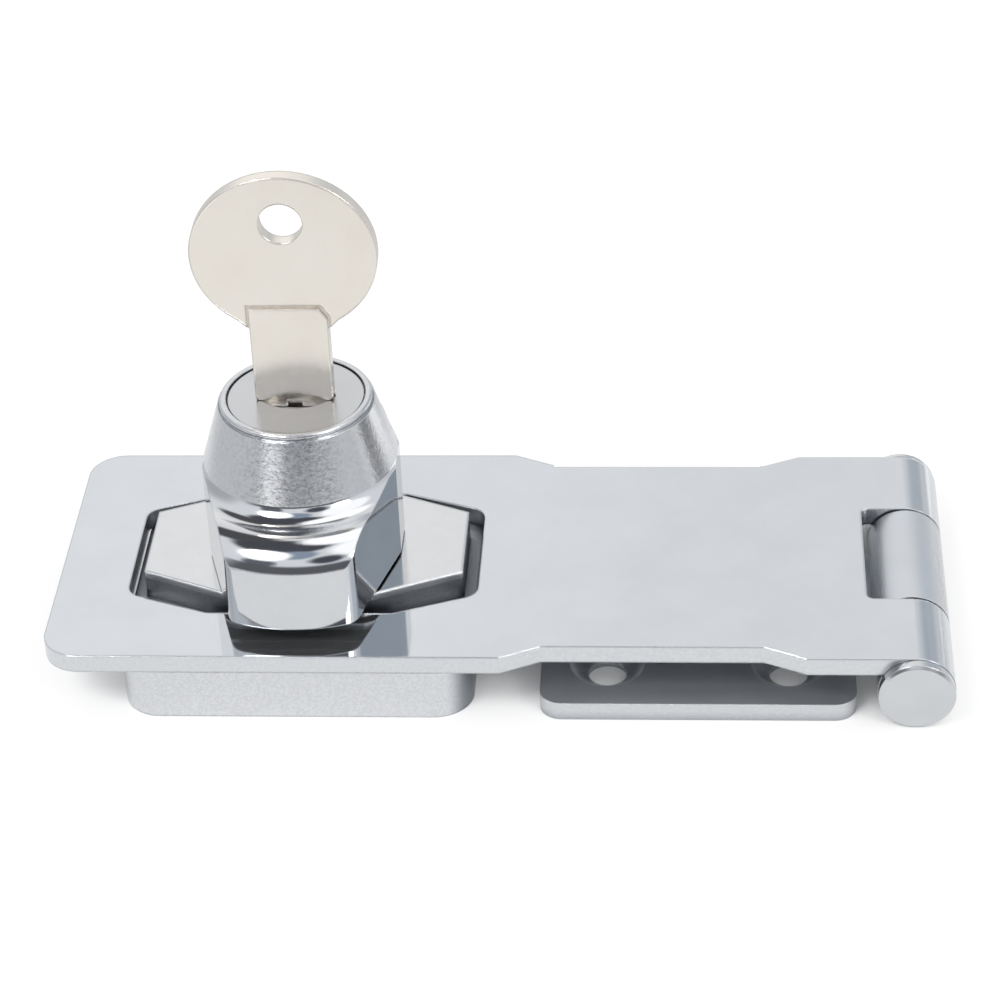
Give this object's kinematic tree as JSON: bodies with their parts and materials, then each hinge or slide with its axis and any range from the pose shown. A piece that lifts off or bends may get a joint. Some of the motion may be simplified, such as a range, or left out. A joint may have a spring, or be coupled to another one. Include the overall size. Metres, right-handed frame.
{
  "type": "keyed hasp lock",
  "caption": "Hasp lock: a slotted strap on a hinged leaf closes over a base, and a turn knob with a plug and key bars the slot.",
  "frame": {"origin": "on the knob's axis in the mounting plane, which is the centre of the base's four screw holes", "axes": "+X along the strap towards the hinge pin, +Z out of the door towards the knob's face, +Y across the strap"},
  "size_m": [0.1016, 0.0425, 0.0582],
  "materials": {
    "cast_zinc": "satin nickel-plated zinc casting",
    "chromed_sheet": "polished chrome plate on stamped steel",
    "chromed_leaf": "polished chrome plate on stamped steel",
    "chromed_pin": "chrome plate, slightly matt",
    "chromed_casting": "chrome plate on a zinc casting, satin on the cone",
    "washer_steel": "zinc-plated steel",
    "spring_steel": "spring steel",
    "plug_metal": "chrome-plated zinc",
    "bolt_metal": "plain brass",
    "brass": "plain brass",
    "nickel_key": "nickel-plated brass, warm white"
  },
  "bodies": {
    "mounting": {"lock_base": "cast_zinc", "spring_washer": "spring_steel", "hasp_strap": "chromed_sheet", "hinge_pin": "chromed_pin"},
    "leaf": {"hinge_leaf": "chromed_leaf"},
    "turn_knob": {"knob": "chromed_casting", "stop_washer": "washer_steel", "retaining_clip": "spring_steel"},
    "plug": {"lock_plug": "plug_metal", "wafer_1": "brass", "wafer_2": "brass", "wafer_3": "brass", "wafer_4": "brass", "wafer_5": "brass", "wafer_spring_1": "spring_steel", "wafer_spring_2": "spring_steel", "wafer_spring_3": "spring_steel", "wafer_spring_4": "spring_steel", "wafer_spring_5": "spring_steel", "retaining_wafer": "brass", "retaining_spring": "spring_steel"},
    "bolt": {"lock_bolt": "bolt_metal"},
    "key_piece": {"key": "nickel_key"}
  },
  "joints": [
    {"name": "leaf_swing", "type": "hinge", "parent": "mounting", "child": "leaf", "pos_m": [0.069, 0, 0.0043], "axis": [0, -1, 0], "range_deg": [0, 180]},
    {"name": "knob_turn", "type": "hinge", "parent": "mounting", "child": "turn_knob", "pos_m": [0, 0, 0], "axis": [0, 0, 1], "range_deg": [0, 90]},
    {"name": "plug_turn", "type": "hinge", "parent": "turn_knob", "child": "plug", "pos_m": [0, 0, 0], "axis": [0, 0, -1], "range_deg": [0, 90]},
    {"name": "bolt_throw", "type": "slide", "parent": "turn_knob", "child": "bolt", "axis": [1, 0, 0], "range_m": [0, 0.00283]},
    {"name": "key_pull", "type": "slide", "parent": "plug", "child": "key_piece", "axis": [0, 0, 1], "range_m": [0, 0.03]}
  ],
  "couplings": [
    {"joint": "plug_turn", "follows": "bolt_throw", "rad_per_m": 555.6}
  ]
}
